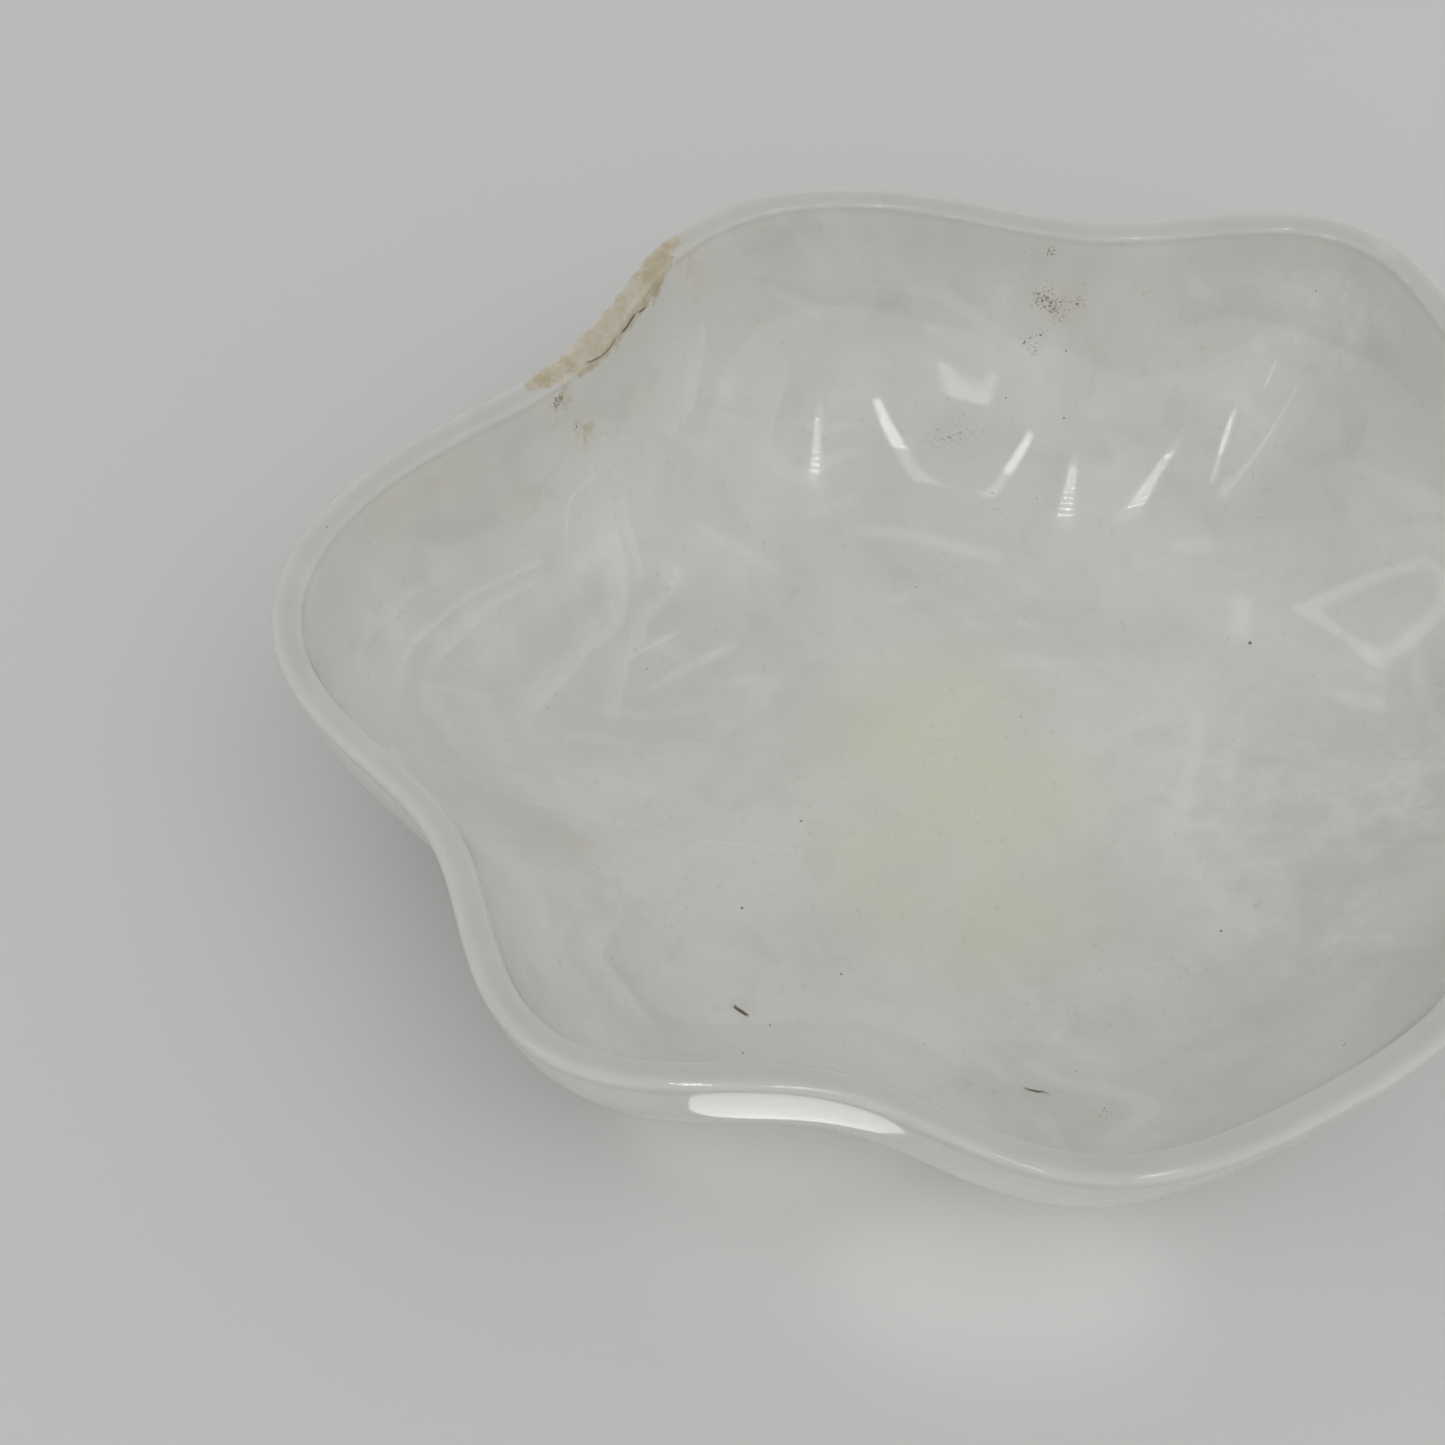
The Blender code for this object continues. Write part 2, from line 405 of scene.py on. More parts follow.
def draw_veins(points, veins):
    """Gives each point of the dish its place across the nearest vein of each group, in half-widths, and
    the vein's tone, which fades out at both ends."""
    for group in sorted({vein[0] for vein in veins}):
        across = np.full(len(points), CLEAR_OF_VEIN)
        tone = np.zeros(len(points))
        closest = np.full(len(points), np.inf)
        for _, strength, width, corners in [vein for vein in veins if vein[0] == group]:
            line, normals = seen_places(rounded_path(corners))
            side = np.cross(np.gradient(line, axis=0), normals)
            side /= np.linalg.norm(side, axis=1, keepdims=True)
            reach = VEIN_REACH * width + VEIN_MARGIN
            low = line.min(axis=0) - reach
            high = line.max(axis=0) + reach
            near = np.flatnonzero(np.all((points > low) & (points < high), axis=1))
            gap = np.linalg.norm(points[near, None] - line[None], axis=2)
            step = gap.argmin(axis=1)
            gap = gap.min(axis=1)
            offset = np.einsum("ij,ij->i", points[near] - line[step], side[step]) / width
            along = step / (len(line) - 1)
            fade = np.clip(np.minimum(along, 1 - along) / VEIN_END_FADE, 0, 1)
            fade *= np.clip((reach - gap) / VEIN_MARGIN_FADE, 0, 1)
            taken = gap / width < closest[near]
            chosen = near[taken]
            closest[chosen] = (gap / width)[taken]
            across[chosen] = np.clip(offset[taken], -CLEAR_OF_VEIN, CLEAR_OF_VEIN)
            tone[chosen] = (strength * fade)[taken]
        write_attribute(group + "_across", across)
        write_attribute(group + "_tone", tone)


def draw_clouds(points, name, clouds):
    """Adds soft round patches: their places in the picture, radii in millimetres and amounts."""
    total = np.zeros(len(points))
    for u, v, radius, amount in clouds:
        place, _ = seen_places([(u, v)])
        total += amount * np.exp(-((np.linalg.norm(points - place[0], axis=1) / radius) ** 2))
    write_attribute(name, total)


def draw_specks(points, specks):
    """Tells the points around each speck where it is and how large it is. Specks closer together than
    two faces of the mesh would smear into each other, so those are left to the flecks."""
    middles, _ = seen_places([speck[:2] for speck in specks])
    radii = np.array([speck[2] for speck in specks])
    gap = np.linalg.norm(points[:, None] - middles[None], axis=2)
    nearest = gap.argmin(axis=1)
    two_nearest = np.partition(gap, 1, axis=1)
    alone = (two_nearest[:, 0] < SPECK_REACH) & (two_nearest[:, 1] > SPECKS_APART)
    places = np.where(alone[:, None], middles[nearest], NO_SPECK_PLACE)
    attribute = dish.data.attributes.new("speck_place", "FLOAT_VECTOR", "POINT")
    attribute.data.foreach_set("vector", places.astype(np.float32).ravel())
    write_attribute("speck_radius", np.where(alone, radii[nearest], 0.0))


# Veins: group, tone (above 0 milky, below 0 grey), half-width in millimetres, and the path in the picture.
# Each is crisp on the right of its way and soft on the left, and near neighbours are in different groups.
VEINS = (
    ("band", 0.6, 3.12, ((522, 741), (523, 720), (534, 702), (555, 681), (570, 660), (588, 642), (612, 621),
                         (619, 594), (618, 564), (609, 534), (606, 510), (606, 486))),
    ("fold", 0.44, 1.95, ((612, 738), (615, 699), (622, 678), (627, 660), (639, 636), (645, 615), (666, 594),
                         (682, 566))),
    ("rib", 0.4, 1.43, ((634, 592), (639, 570), (633, 546), (625, 516), (621, 488))),
    ("fold", 0.56, 0.88, ((399, 692), (399, 675), (405, 657), (420, 636), (441, 618), (468, 597), (492, 585),
                        (528, 568), (558, 556), (581, 555))),
    ("rib", 0.36, 1.56, ((360, 676), (357, 654), (372, 630), (390, 615), (405, 597), (426, 583), (460, 571))),
    ("band", 0.4, 1.3, ((428, 678), (435, 660), (450, 645), (468, 627), (492, 603), (522, 588), (550, 574))),
    ("rib", 0.32, 0.88, ((414, 684), (444, 688), (480, 696), (500, 709))),
    ("rib", 0.6, 0.56, ((565, 552), (567, 522), (570, 501), (582, 487), (594, 474), (588, 457))),
    ("fold", -0.48, 0.75, ((514, 524), (534, 510), (540, 489), (558, 465), (567, 436))),
    ("fold", 0.48, 0.44, ((298, 610), (313, 620), (329, 631))),
    ("thin", 0.52, 0.32, ((400, 752), (440, 766), (477, 781), (520, 799), (541, 804), (571, 813), (613, 821),
                         (657, 830), (685, 838), (698, 840), (740, 845), (788, 850), (829, 845), (863, 840),
                         (896, 840))),
    ("band", 0.4, 0.75, ((608, 808), (640, 799), (652, 786))),
    ("fold", 0.52, 2.6, ((657, 1034), (640, 1018), (623, 994), (609, 974), (595, 953), (602, 933), (614, 912),
                         (607, 880), (598, 850))),
    ("band", -0.36, 2.86, ((622, 960), (648, 1000), (680, 1036))),
    ("thin", 0.39, 0.3, ((698, 989), (704, 983), (711, 981))),
    ("thin", -0.52, 0.7, ((738, 273), (757, 279), (780, 283), (803, 294), (817, 300), (837, 305), (851, 297),
                         (874, 290))),
    ("band", -0.4, 1.69, ((737, 259), (757, 247), (780, 241), (806, 232))),
    ("fold", 0.4, 1.0, ((768, 290), (800, 305), (824, 322))),
    ("rib", 0.44, 2.6, ((660, 446), (689, 401), (695, 367), (700, 339), (697, 308))),
    ("thin", 0.45, 0.35, ((640, 446), (655, 440))),
    ("band", 0.32, 3.38, ((755, 470), (771, 401), (788, 360))),
    ("rib", 0.28, 2.08, ((812, 520), (818, 492), (822, 470))),
    ("thin", 0.32, 1.56, ((683, 517), (723, 541), (757, 559), (795, 582))),
    ("rib", -0.48, 2.08, ((870, 303), (892, 300), (915, 306))),
    ("band", -0.52, 3.38, ((1150, 340), (1183, 319), (1223, 309), (1263, 311), (1304, 323), (1344, 337),
                          (1384, 357), (1409, 381), (1443, 420))),
    ("fold", 0.28, 3.38, ((1180, 290), (1243, 274), (1310, 285), (1370, 312), (1425, 360))),
    ("fold", -0.28, 3.12, ((1185, 372), (1260, 350), (1330, 372))),
    ("band", -0.32, 3.38, ((940, 286), (965, 293), (990, 304))),
    # this milky line at the foot of the near wall is a painted highlight
    ("rib", 0.28, 2.86, ((755, 972), (790, 960), (820, 951), (860, 948), (905, 968))),
    ("fold", -0.24, 3.12, ((850, 982), (890, 996), (940, 1008))),
    ("band", -0.28, 4.16, ((1050, 1015), (1100, 1026), (1150, 1020))),
    ("rib", 0.28, 2.08, ((1035, 1015), (1075, 1050), (1120, 1062))),
    ("rib", 0.24, 1.82, ((1445, 938), (1370, 940), (1280, 944))),
    ("fold", -0.24, 2.08, ((1445, 953), (1380, 958), (1300, 962))),
    ("rib", -0.24, 2.08, ((1330, 886), (1220, 884), (1110, 886))),
    ("fold", 0.24, 2.34, ((700, 742), (745, 715), (790, 668), (850, 640))),
    ("band", 0.24, 2.34, ((900, 580), (960, 612), (1010, 650))),
    ("rib", 0.56, 0.62, ((560, 386), (556, 400), (566, 416))),
    ("rib", 0.48, 0.62, ((434, 440), (448, 441), (466, 432))),
    ("thin", -0.85, 0.14, ((1388, 746), (1395, 756), (1407, 760), (1418, 754), (1424, 746))),
)
# Soft round patches: place in the picture, radius in millimetres and amount. Those below 0 are grey.
# Among them, the patch at 1150, 560 is a painted highlight, and the large bright patches on the right of the
# dish are painted light.
MILKY_CLOUDS_AND_PAINTED_LIGHT = (
    (490, 655, 7, 0.45), (545, 600, 5, 0.30), (675, 572, 4, 0.5), (480, 690, 9, -0.25),
    (560, 640, 5, -0.30), (650, 585, 3, -0.4), (600, 540, 5, 0.25), (640, 760, 12, -0.2),
    (730, 690, 10, 0.25), (730, 560, 9, 0.2), (800, 600, 12, -0.2), (690, 450, 10, -0.25),
    (850, 300, 12, -0.15), (1009, 289, 8, 0.3), (892, 300, 6, -0.3), (1114, 293, 5, 0.25),
    (820, 430, 7, -0.2), (930, 440, 9, -0.15), (1330, 470, 16, -0.3), (1240, 640, 18, 0.3),
    (1380, 660, 12, 0.5), (1100, 1022, 9, -0.2), (750, 970, 8, 0.1), (900, 1040, 14, -0.1),
    (560, 950, 12, 0.1), (306, 578, 4, 0.8), (316, 698, 3.5, 0.9), (396, 759, 3, 1.0), (376, 750, 3, 0.7),
    (1240, 930, 8, 0.3), (500, 860, 14, 0.15), (430, 800, 10, 0.15), (1150, 560, 12, 0.4),
    (1200, 800, 30, 0.6), (1350, 320, 14, 1.0), (1290, 290, 9, 0.5), (860, 240, 14, 0.5),
    (450, 480, 10, 0.5), (370, 600, 11, 0.5), (1400, 800, 22, 0.7), (1340, 940, 18, 0.5),
    (1160, 1130, 12, 0.5), (1300, 1080, 14, 0.3), (650, 900, 14, -0.5), (1000, 995, 14, -0.4),
    (810, 950, 12, -0.3), (650, 450, 12, -0.2), (600, 1040, 10, 0.5), (1000, 270, 14, 0.3),
)
# The green glow of the thick floor
GREEN_GLOWS = (
    (950, 800, 48, 0.26), (900, 700, 15, 0.30), (870, 760, 11, 0.25), (960, 790, 20, 0.38),
    (1040, 790, 14, 0.25), (950, 740, 13, 0.10), (880, 905, 11, 0.25), (960, 930, 14, 0.36),
    (1050, 920, 13, 0.25), (860, 850, 10, 0.25), (980, 680, 13, 0.20), (940, 845, 11, 0.12),
)
# Pink-brown blushes
BLUSHES = (
    (690, 262, 5.5, 0.9), (702, 285, 3.5, 0.6), (556, 402, 3.5, 0.8), (586, 430, 3.6, 1.0),
    (583, 842, 5, 0.6), (286, 604, 3.4, 1.1), (1058, 303, 4.8, 0.9), (385, 505, 9, 0.35),
    (450, 478, 7, 0.35), (522, 500, 3, 0.4), (630, 800, 4, 0.5), (640, 330, 5, 0.35), (765, 205, 1.6, 1.0),
    (1105, 1116, 5, 0.3), (640, 400, 9, 0.2),
)
# The gold-brown inclusion fills the rim and a little of the wall below it
GOLD = (
    (532, 384, 2.6, 0.7), (550, 376, 3.4, 0.8), (570, 364, 4.2, 0.8), (589, 351, 4.8, 0.8),
    (606, 337, 5.0, 0.8), (622, 320, 5.0, 0.8), (636, 304, 5.0, 0.8), (647, 287, 4.8, 0.8),
    (655, 270, 4.2, 0.8), (664, 254, 3.2, 0.8), (673, 241, 2.4, 0.8),
)
# Its olive-brown patches
OCHRES = (
    (654, 290, 3.8, 1.0), (648, 274, 3.4, 0.9), (658, 258, 3.0, 1.0), (667, 245, 2.2, 0.8),
    (543, 375, 3.2, 1.0), (562, 367, 2.4, 0.6), (630, 312, 3.6, 0.55), (600, 355, 3.0, 0.55),
    (617, 341, 3.0, 0.5), (560, 399, 4.0, 0.5), (586, 429, 4.0, 0.45), (573, 414, 2.6, 0.35),
    (606, 430, 2.6, 0.3), (680, 262, 4.0, 0.25),
)
# Clusters of fine dark flecks
FLECKS = (
    (1057, 304, 3.6, 0.8), (1080, 301, 2.4, 0.9), (1036, 301, 2.6, 0.8), (1046, 286, 3.0, 0.5),
    (1040, 336, 3.0, 0.65), (1062, 325, 4.0, 0.6), (1022, 339, 2.6, 0.75), (1035, 354, 2.4, 0.75),
    (968, 428, 8.0, 0.5), (935, 440, 7.0, 0.47), (1105, 1113, 4.0, 0.75), (561, 397, 2.4, 0.95),
    (577, 427, 2.0, 1.0), (592, 436, 2.4, 0.8), (553, 408, 2.0, 0.8), (1000, 520, 12.0, 0.5),
    (480, 660, 16.0, 0.45), (1053, 250, 2.4, 0.8), (1030, 260, 6.0, 0.6),
)
# Fine dark cracks, given as the veins are
CRACKS = (
    ("crack", 0.75, 0.32, ((583, 364), (592, 361), (601, 356), (609, 349), (614, 341), (618, 336))),
    ("crack", 1.2, 0.42, ((621, 333), (627, 327), (631, 320), (636, 313))),
    ("crack", 1.0, 0.35, ((639, 312), (642, 310), (646, 307))),
    ("crack", 1.2, 0.5, ((733, 1005), (742, 1012), (751, 1017))),
    ("crack", 1.0, 0.4, ((1026, 1089), (1036, 1091), (1046, 1093))),
)
# Single specks: place in the picture and radius in millimetres
SPECKS = (
    (1250, 643, 0.55), (801, 821, 0.38), (742, 908, 0.42), (841, 974, 0.38), (1221, 931, 0.42),
    (1344, 1045, 0.42), (1021, 717, 0.32), (843, 1041, 0.25), (687, 907, 0.25), (743, 1053, 0.4),
    (770, 1025, 0.35), (858, 910, 0.25), (888, 837, 0.25), (925, 1044, 0.25), (1006, 398, 0.34),
    (1064, 418, 0.38), (992, 493, 0.32), (1037, 498, 0.3), (916, 587, 0.3), (963, 415, 0.28),
    (1267, 432, 0.28), (1253, 474, 0.28), (1316, 291, 0.34), (1076, 1071, 0.28), (327, 527, 0.3),
    (369, 543, 0.25), (548, 708, 0.25), (647, 669, 0.3), (1077, 304, 0.42), (1041, 335, 0.36),
    (1066, 351, 0.36), (1053, 1130, 0.25),
)


# Colours of the stone
PALE_ONYX = (0.68, 0.684, 0.652, 1.0)
DEEP_ONYX = (0.62, 0.625, 0.588, 1.0)
GREY_ONYX = (0.54, 0.545, 0.513, 1.0)
GREEN_ONYX = (0.665, 0.685, 0.525, 1.0)
# a darker onyx, also used as painted shade on the rim
DEEPER_ONYX_AND_PAINTED_SHADE = (0.42, 0.422, 0.395, 1.0)
MILK = (0.84, 0.84, 0.825, 1.0)
BLUSH = (0.65, 0.57, 0.48, 1.0)
GRAIN = (0.58, 0.58, 0.55, 1.0)
PALE_GOLD = (0.50, 0.468, 0.385, 1.0)
DEEP_GOLD = (0.45, 0.405, 0.31, 1.0)
OLIVE_GOLD = (0.41, 0.36, 0.24, 1.0)
CRACK = (0.13, 0.085, 0.045, 1.0)
FLECK = (0.16, 0.11, 0.07, 1.0)
SPECK = (0.03, 0.02, 0.017, 1.0)
# How strongly they show
MILK_AMOUNT = 0.5
GREY_AMOUNT = 0.6
LAYER_AMOUNT = 0.24
GREYING_AMOUNT = 0.35
GRAIN_AMOUNT = 0.16
OCHRE_AMOUNT = 0.85
FLECK_AMOUNT = 0.8
SPECK_AMOUNT = 0.8
# The slanting layers of the block: the way across them, how far they bend in millimetres, and their waves
LAYER_SLANT = (0.45, 0.72, 0.53)
LAYER_BENDING = 190.0
LAYER_RADIANS_PER_MM = 0.33
# Crystals: mottling and fine grain per millimetre
MOTTLE_PER_MM = 0.4
FINE_GRAIN_PER_MM = 1.4
# How ragged the veins of each group are, in half-widths
VEIN_RAGGEDNESS = {"band": 0.9, "fold": 0.8, "rib": 0.9, "thin": 0.7}
# Darker by this much up the wall, on the rim as painted shade, and outside, between these heights
THIN_WALL_DEEPER = 0.32
THIN_WALL_HEIGHTS = (30.0, 69.0)
# painted shade on the rim's top, which faces up to the light
RIM_PAINTED_SHADE = 0.5
RIM_SHADE_HEIGHTS = (67.5, 70.2)
OUTSIDE_DEEPER = 0.9
# Polish, and how deep light goes in, in millimetres and as shares of that for red, green and blue
POLISH_ROUGHNESS = 0.07
STONE_IOR = 1.5
SUBSURFACE_SHARE = 0.6
LIGHT_DEPTH = 9.0
LIGHT_DEPTH_BY_COLOUR = (1.0, 0.97, 0.88)


def onyx_material():
    """Milky, faintly green onyx: soft clouds and layers all through the block, then its drawn marks and its
    fine grain. Some drawn patches and one drawn line are painted light and highlights, and the rim's darker
    colour is painted shade. It lets light in some millimetres deep and is polished."""
    material = bpy.data.materials.new("onyx")
    material.use_nodes = True
    shader = material.node_tree.nodes["Principled BSDF"]
    t = Tree(material.node_tree)
    place = t.scaled(t.add("ShaderNodeTexCoord").outputs["Object"], 1 / MM)

    def noise(scale, detail, roughness):
        return t.add("ShaderNodeTexNoise", {"Vector": place, "Scale": scale, "Detail": detail,
                                            "Roughness": roughness}).outputs[0]

    def between(value, low, high, to_low=0.0, to_high=1.0):
        return t.add("ShaderNodeMapRange", {0: value, 1: low, 2: high, 3: to_low, 4: to_high},
                     interpolation_type="SMOOTHSTEP").outputs[0]

    def blend(amount, first, second):
        node = t.add("ShaderNodeMix", {0: amount, 6: first, 7: second}, data_type="RGBA")
        return node.outputs[2]

    def drawn(name):
        return t.add("ShaderNodeAttribute", attribute_name=name).outputs["Fac"]

    mottle = noise(MOTTLE_PER_MM, 3.0, 0.65)
    uneven = t.math("SUBTRACT", mottle, 0.5)
    fine = noise(FINE_GRAIN_PER_MM, 2.0, 0.75)

    def vein(group, ragged):
        across = t.math("ADD", drawn(group + "_across"), t.math("MULTIPLY", uneven, ragged))
        left = between(across, -2.2, 0.4)
        right = between(across, 0.55, 1.0, 1.0, 0.0)
        return t.math("MULTIPLY", t.math("MULTIPLY", left, right), drawn(group + "_tone"))

    colour = blend(between(drawn("clouding"), 0.36, 0.66), PALE_ONYX, DEEP_ONYX)
    # slanting layers of the block, bent by a slow noise
    bend = t.math("MULTIPLY", drawn("bending"), LAYER_BENDING)
    layer = t.math("ADD", t.vector("DOT_PRODUCT", place, LAYER_SLANT), bend)
    waves = t.math("SINE", t.math("MULTIPLY", layer, LAYER_RADIANS_PER_MM))
    layers = t.math("MULTIPLY", between(waves, 0.1, 1.0), between(drawn("breaking"), 0.48, 0.72))
    colour = blend(t.math("MULTIPLY", layers, LAYER_AMOUNT), colour, MILK)
    greying = t.math("MULTIPLY", between(drawn("greying"), 0.52, 0.72), GREYING_AMOUNT)
    colour = blend(greying, colour, GREY_ONYX)
    # the drawn veins and clouds, with some painted light and painted highlights among them
    tone = t.math("MULTIPLY", drawn("cloud_and_painted_light"), between(drawn("flecking"), 0.25, 0.75, 0.35, 1.5))
    for group, ragged in VEIN_RAGGEDNESS.items():
        tone = t.math("ADD", tone, vein(group, ragged))
    tone = t.math("MULTIPLY", tone, between(mottle, 0.3, 0.7, 0.55, 1.25))
    colour = blend(t.math("MULTIPLY", tone, MILK_AMOUNT, clamp=True), colour, MILK)
    colour = blend(t.math("MULTIPLY", tone, -GREY_AMOUNT, clamp=True), colour, GREY_ONYX)
    glow = t.math("MULTIPLY", drawn("glow"), between(drawn("glowing"), 0.3, 0.6, 0.6, 1.1), clamp=True)
    colour = blend(glow, colour, GREEN_ONYX)
    blush = t.math("MULTIPLY", drawn("blush"), between(mottle, 0.3, 0.65, 0.15, 0.8), clamp=True)
    colour = blend(blush, colour, BLUSH)
    # fine grain of the crystals
    grain = t.math("MULTIPLY", between(fine, 0.35, 0.7), GRAIN_AMOUNT)
    colour = blend(grain, colour, GRAIN)
    # the upper wall and the outside are darker, and the rim is darker as painted shade
    height = t.add("ShaderNodeSeparateXYZ", {0: place}).outputs["Z"]
    colour = blend(between(height, *THIN_WALL_HEIGHTS, 0.0, THIN_WALL_DEEPER), colour, DEEPER_ONYX_AND_PAINTED_SHADE)
    colour = blend(between(height, *RIM_SHADE_HEIGHTS, 0.0, RIM_PAINTED_SHADE), colour, DEEPER_ONYX_AND_PAINTED_SHADE)
    colour = blend(between(drawn("outside"), 0.0, 1.0, 0.0, OUTSIDE_DEEPER), colour, DEEPER_ONYX_AND_PAINTED_SHADE)
    # the gold-brown inclusion on the rim, with its darker patches, cracks and the flecks near it
    inclusion = t.math("ADD", drawn("gold"), t.math("MULTIPLY", uneven, 0.6))
    gold = blend(between(mottle, 0.36, 0.66), PALE_GOLD, DEEP_GOLD)
    colour = blend(between(inclusion, 0.42, 0.62), colour, gold)
    ochre = t.math("ADD", drawn("ochre"), t.math("MULTIPLY", uneven, 2.2))
    colour = blend(between(ochre, 0.2, 1.1, 0.0, OCHRE_AMOUNT), colour, OLIVE_GOLD)
    crack_across = t.math("ADD", drawn("crack_across"), t.math("MULTIPLY", uneven, 2.0))
    crack = between(t.math("ABSOLUTE", crack_across), 0.3, 1.3, 1.0, 0.0)
    crack = t.math("MULTIPLY", crack, drawn("crack_tone"), clamp=True)
    colour = blend(crack, colour, CRACK)
    fleck = t.math("ADD", fine, t.math("MULTIPLY", drawn("fleck"), 0.4))
    colour = blend(between(fleck, 0.84, 0.96, 0.0, FLECK_AMOUNT), colour, FLECK)
    # single specks, slightly uneven in outline
    speck_place = t.add("ShaderNodeAttribute", attribute_name="speck_place").outputs["Vector"]
    speck_gap = t.math("ADD", t.vector("DISTANCE", place, speck_place), t.math("MULTIPLY", fine, 0.3))
    edge = t.math("DIVIDE", speck_gap, t.math("MAXIMUM", drawn("speck_radius"), 0.01))
    colour = blend(between(edge, 0.7, 1.4, SPECK_AMOUNT, 0.0), colour, SPECK)
    t.tree.links.new(colour, shader.inputs["Base Color"])
    shader.inputs["Roughness"].default_value = POLISH_ROUGHNESS
    shader.inputs["IOR"].default_value = STONE_IOR
    shader.inputs["Subsurface Weight"].default_value = SUBSURFACE_SHARE
    shader.inputs["Subsurface Radius"].default_value = LIGHT_DEPTH_BY_COLOUR
    shader.inputs["Subsurface Scale"].default_value = LIGHT_DEPTH * MM
    return material


dish = rim_outline()
section = wall_section()
carve_group, carve_sockets = dish_tree()
run_tree(dish, carve_group, carve_sockets, {
    "Wall Section": section, "Points Around": POINTS_AROUND, "Foot Margin": FOOT_MARGIN * MM,
    "Wave Depth": TOOL_WAVE_DEPTH * MM, "Waves per mm": TOOL_WAVES_PER_MM, "Stone": onyx_material()})
bpy.data.objects.remove(section)
print("dish has", len(dish.data.vertices), "points and", len(dish.data.polygons), "faces")

bpy.context.view_layer.update()
dish_points = np.empty(len(dish.data.vertices) * 3)
dish.data.vertices.foreach_get("co", dish_points)
dish_points = dish_points.reshape(-1, 3) / MM
draw_veins(dish_points, VEINS + CRACKS)
# milky and grey clouds, with painted light and a painted highlight among them
draw_clouds(dish_points, "cloud_and_painted_light", MILKY_CLOUDS_AND_PAINTED_LIGHT)
draw_clouds(dish_points, "glow", GREEN_GLOWS)
draw_clouds(dish_points, "blush", BLUSHES)
draw_clouds(dish_points, "gold", GOLD)
draw_clouds(dish_points, "ochre", OCHRES)
draw_clouds(dish_points, "fleck", FLECKS)
draw_specks(dish_points, SPECKS)

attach(dish, "root")
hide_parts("dish")


# Soft room light: a pale room, darker overhead and on its far side, and one wide lamp at the front right,
# which casts the soft shadow. Rows of small round lamps and long strips under the ceiling only show in
# the polish. Flat lamps close to the table stand for light that comes from below and through the stone.
ROOM_COLOUR = (0.985, 0.985, 1.0, 1.0)
ROOM_WALLS = 1.07
ROOM_CEILING = 0.69
ROOM_SHADY_SIDE = 0.79
ROOM_BRIGHT_SIDE = (0.08, -1.0, 0.0)

world = bpy.data.worlds.new("room")
world.use_nodes = True
room = Tree(world.node_tree)
direction = room.add("ShaderNodeTexCoord").outputs["Generated"]
upward = room.add("ShaderNodeSeparateXYZ", {0: direction}).outputs["Z"]
by_height = room.add("ShaderNodeMapRange", {0: upward, 1: 0.0, 2: 1.0, 3: ROOM_WALLS, 4: ROOM_CEILING})
facing = room.vector("DOT_PRODUCT", direction, ROOM_BRIGHT_SIDE)
by_side = room.add("ShaderNodeMapRange", {0: facing, 1: -1.0, 2: 1.0, 3: ROOM_SHADY_SIDE, 4: 1.0})
background = world.node_tree.nodes["Background"]
background.inputs["Color"].default_value = ROOM_COLOUR
brightness = room.math("MULTIPLY", by_height.outputs[0], by_side.outputs[0])
room.tree.links.new(brightness, background.inputs["Strength"])
bpy.context.scene.world = world


def area_lamp(name, shape, size, place, target, watts):
    """A flat lamp with this shape and size, which faces the target."""
    data = bpy.data.lights.new(name, "AREA")
    data.shape = shape
    data.size, data.size_y = size
    data.energy = watts
    lamp = bpy.data.objects.new(name, data)
    lamp.location = place
    lamp.rotation_euler = (Vector(target) - Vector(place)).to_track_quat("-Z", "Y").to_euler()
    bpy.context.scene.collection.objects.link(lamp)
    return lamp


def oval_watts(radiance, width, depth):
    """The power of a flat round or oval lamp with this radiance and size."""
    return radiance * width * depth * math.pi * math.pi / 4


def seen_only_in_polish(lamp):
    lamp.visible_diffuse = False
    lamp.visible_camera = False


WIDE_LAMP_PLACE = (0.45, -0.55, 1.4)
WIDE_LAMP_SIDE = 1.0
WIDE_LAMP_WATTS = 3.2

wide_lamp = area_lamp("wide_lamp", "RECTANGLE", (WIDE_LAMP_SIDE, WIDE_LAMP_SIDE), WIDE_LAMP_PLACE, (0, 0, 0),
                      WIDE_LAMP_WATTS)
wide_lamp.visible_glossy = False

# Under the ceiling: double rows of round lamps, with their start and end in plan, number and radiance, and
# long strips, with their start and end in plan, width and radiance
CEILING_HEIGHT = 1.5
ROUND_LAMP_WIDTH = 0.024
HALF_ROW_GAP = 0.02
LAMP_ROWS = (
    ("middle_row", (-0.115, -1.15), (-0.115, -0.40), 12, 46),
    ("right_row", (0.50, -0.66), (0.43, 0.05), 10, 25),
)
LAMP_STRIPS = (
    ("middle_strip", (-0.115, -0.38), (-0.10, 0.02), 0.06, 2.4),
    ("right_strip", (0.52, -0.95), (0.42, 0.24), 0.09, 1.3),
    ("left_strip", (-0.75, -1.6), (-1.25, -3.1), 0.08, 3),
    ("side_strip", (-0.30, 0.20), (-2.3, -1.35), 0.10, 1.4),
    ("corner_strip", (-0.28, 0.05), (-0.25, 0.30), 0.12, 1.4),
    ("soft_strip", (-0.12, 0.70), (0.18, 0.67), 0.14, 0.9),
)


def ceiling_row(name, start, end, count, radiance):
    """A line of small round lamps under the ceiling."""
    for i in range(count):
        part = i / (count - 1)
        x = start[0] + (end[0] - start[0]) * part
        y = start[1] + (end[1] - start[1]) * part
        lamp = area_lamp(f"{name}_{i}", "DISK", (ROUND_LAMP_WIDTH, ROUND_LAMP_WIDTH), (x, y, CEILING_HEIGHT),
                         (x, y, 0), oval_watts(radiance, ROUND_LAMP_WIDTH, ROUND_LAMP_WIDTH))
        seen_only_in_polish(lamp)


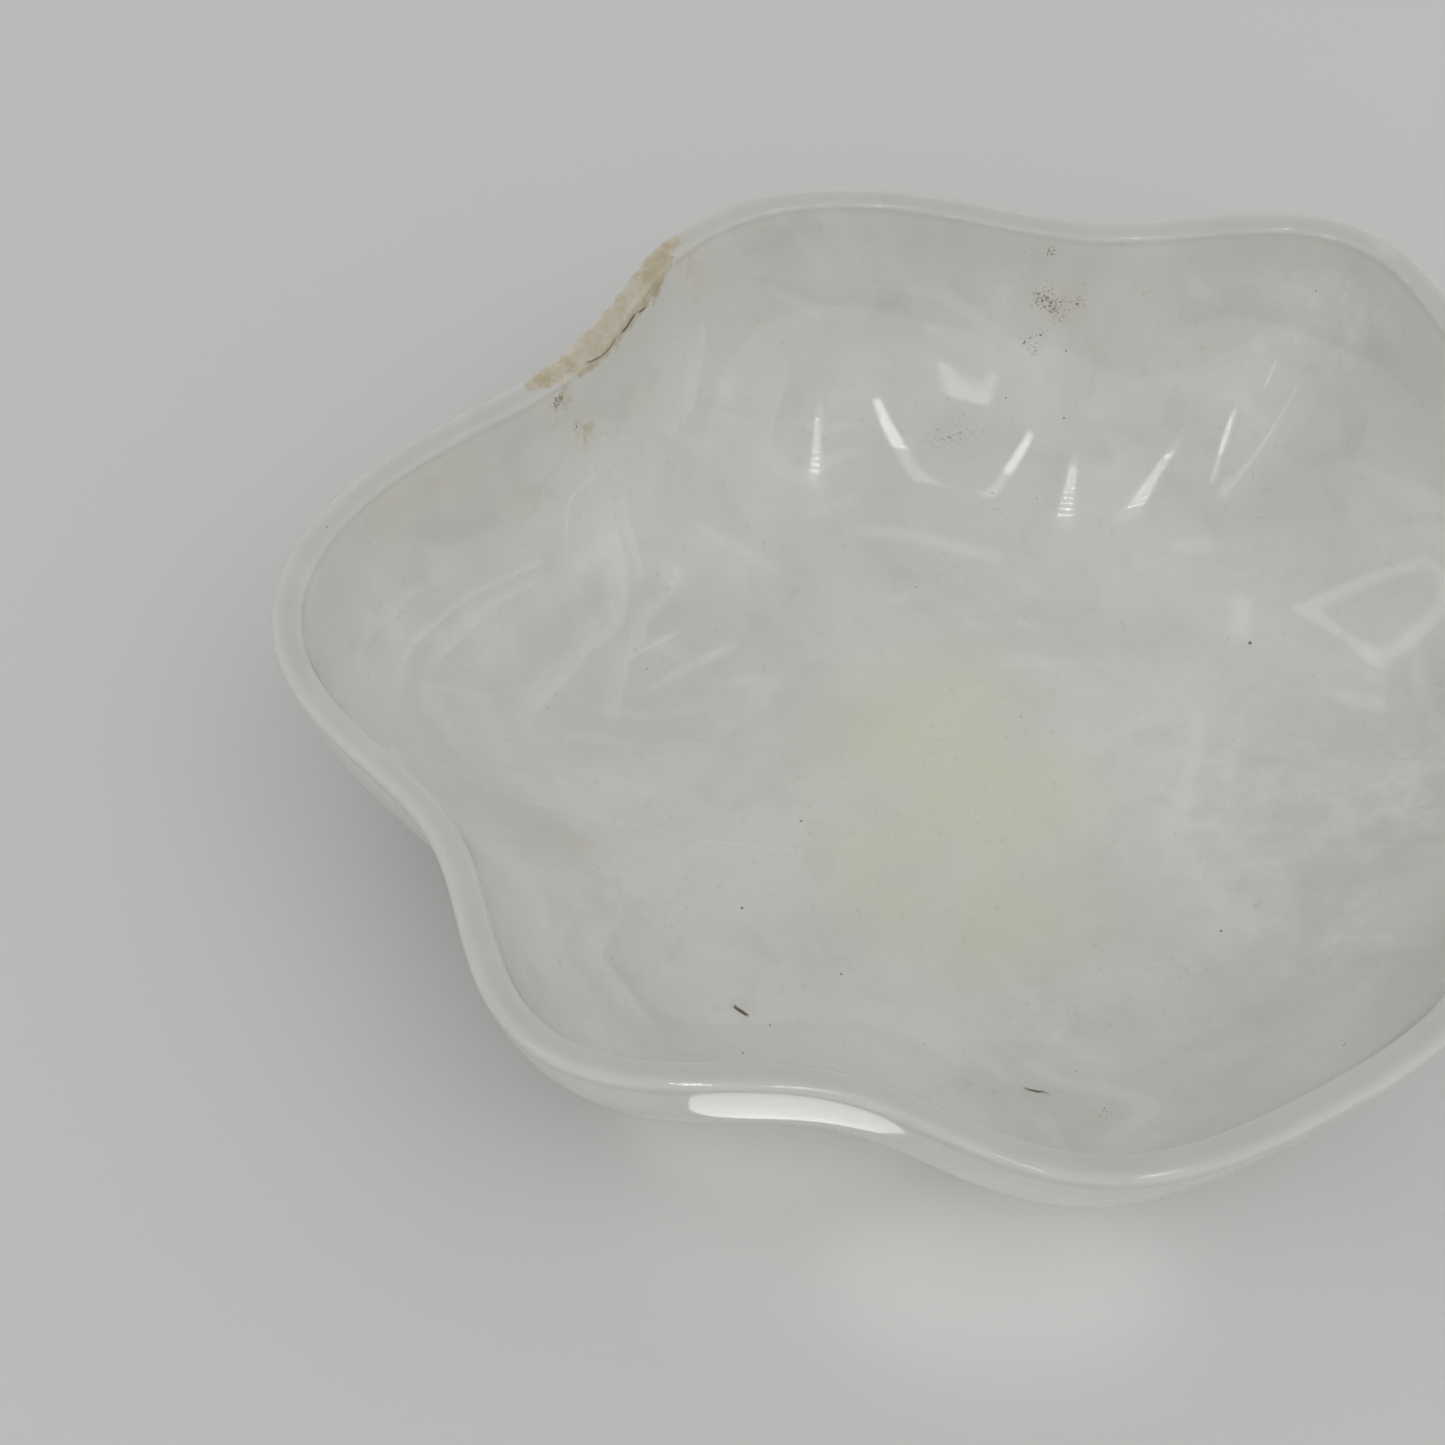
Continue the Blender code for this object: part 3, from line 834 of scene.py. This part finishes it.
def ceiling_strip(name, start, end, width, radiance):
    """One long thin lamp under the ceiling between two places in plan."""
    start, end = Vector((*start, CEILING_HEIGHT)), Vector((*end, CEILING_HEIGHT))
    way = end - start
    lamp = area_lamp(name, "RECTANGLE", (way.length, width), (start + end) / 2, (0, 0, 0),
                     radiance * way.length * width * math.pi)
    lamp.rotation_euler = (0, 0, math.atan2(way.y, way.x))
    seen_only_in_polish(lamp)


for shift in (-HALF_ROW_GAP, HALF_ROW_GAP):
    for name, start, end, count, radiance in LAMP_ROWS:
        ceiling_row(f"{name}_{shift}", (start[0] + shift, start[1]), (end[0] + shift, end[1]), count,
                    radiance)
for name, start, end, width, radiance in LAMP_STRIPS:
    ceiling_strip(name, start, end, width, radiance)

# Light on the table under the front valley, which the outside of the wall mirrors there. It fades inward.
PATCH_MIDDLE_X = -0.0505
PATCH_FRONT_Y = -0.127
PATCH_HEIGHT = 0.001
PATCH_WIDTH = 0.032
PATCH_DEPTHS = (0.012, 0.018, 0.026)
PATCH_RADIANCE = 0.85

for i, depth in enumerate(PATCH_DEPTHS):
    middle_y = PATCH_FRONT_Y + depth / 2
    patch = area_lamp(f"front_patch_{i}", "ELLIPSE", (PATCH_WIDTH, depth),
                      (PATCH_MIDDLE_X, middle_y, PATCH_HEIGHT), (PATCH_MIDDLE_X, middle_y, 1),
                      oval_watts(PATCH_RADIANCE, PATCH_WIDTH, depth))
    seen_only_in_polish(patch)

# Light that comes through the thin stone on to the table under the front of the wall: place and radiance
UNDER_GLOW_WIDTH = 0.07
UNDER_GLOW_DEPTH = 0.04
UNDER_GLOWS = (
    (-0.072, -0.104, 0.016, 0.03), (-0.043, -0.110, 0.018, 0.10), (-0.003, -0.119, 0.012, 0.20),
    (0.037, -0.118, 0.016, 0.05), (-0.046, -0.084, 0.005, 0.12),
)

for i, (x, y, z, radiance) in enumerate(UNDER_GLOWS):
    glow = area_lamp(f"under_glow_{i}", "ELLIPSE", (UNDER_GLOW_WIDTH, UNDER_GLOW_DEPTH), (x, y, z), (x, y, 0),
                     oval_watts(radiance, UNDER_GLOW_WIDTH, UNDER_GLOW_DEPTH))
    glow.visible_camera = False
    glow.visible_glossy = False

bpy.context.scene.view_settings.view_transform = "Standard"
